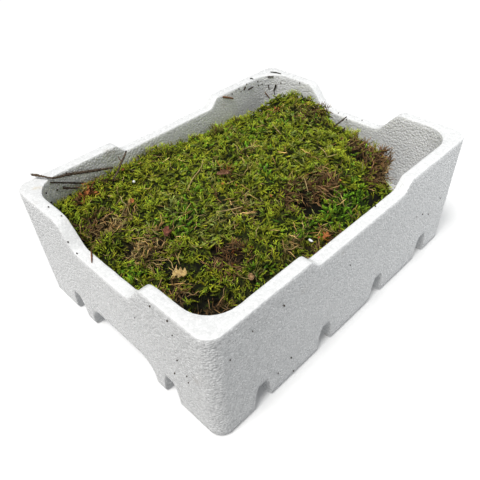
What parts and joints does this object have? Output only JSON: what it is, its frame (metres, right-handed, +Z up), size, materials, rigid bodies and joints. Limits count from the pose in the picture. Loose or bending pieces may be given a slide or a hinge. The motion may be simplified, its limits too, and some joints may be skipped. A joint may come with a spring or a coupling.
{
  "type": "moss clump in a moulded foam crate",
  "caption": "Clump of green woodland moss filling a white moulded foam crate with a notched skirt, sunken rim stretches and loose twigs and leaf scraps on top.",
  "frame": {"origin": "on the ground under the middle of the crate", "axes": "+X along the crate's long side, towards the end where the tray is bare beside the moss; +Y across it; +Z up"},
  "size_m": [0.4, 0.3, 0.1534],
  "materials": {
    "foam": "expanded polystyrene, matt white, with beads showing",
    "moss": "moist feathery moss shoots, soft and matt",
    "bark": "dull brown bark with leaf scars",
    "needle": "dry brown conifer needle",
    "dead_leaf": "dry orange-brown leaf",
    "pale_leaf": "dry straw-coloured leaf"
  },
  "bodies": {
    "root": {"foam_box": "foam", "moss_clump": "moss", "twig_long": "bark", "twig_thin": "bark", "twig_stub": "bark", "twig_leaning": "bark", "twig_right": "bark", "needle_left": "needle", "needle_far": "needle", "needle_back": "needle", "leaf_orange_left": "dead_leaf", "leaf_orange_back": "dead_leaf", "leaf_orange_middle": "dead_leaf", "leaf_orange_front": "dead_leaf", "leaf_red_left": "dead_leaf", "leaf_pale_left": "pale_leaf", "leaf_pale_front": "pale_leaf", "foam_bead": "foam", "foam_flake": "foam"}
  },
  "joints": []
}
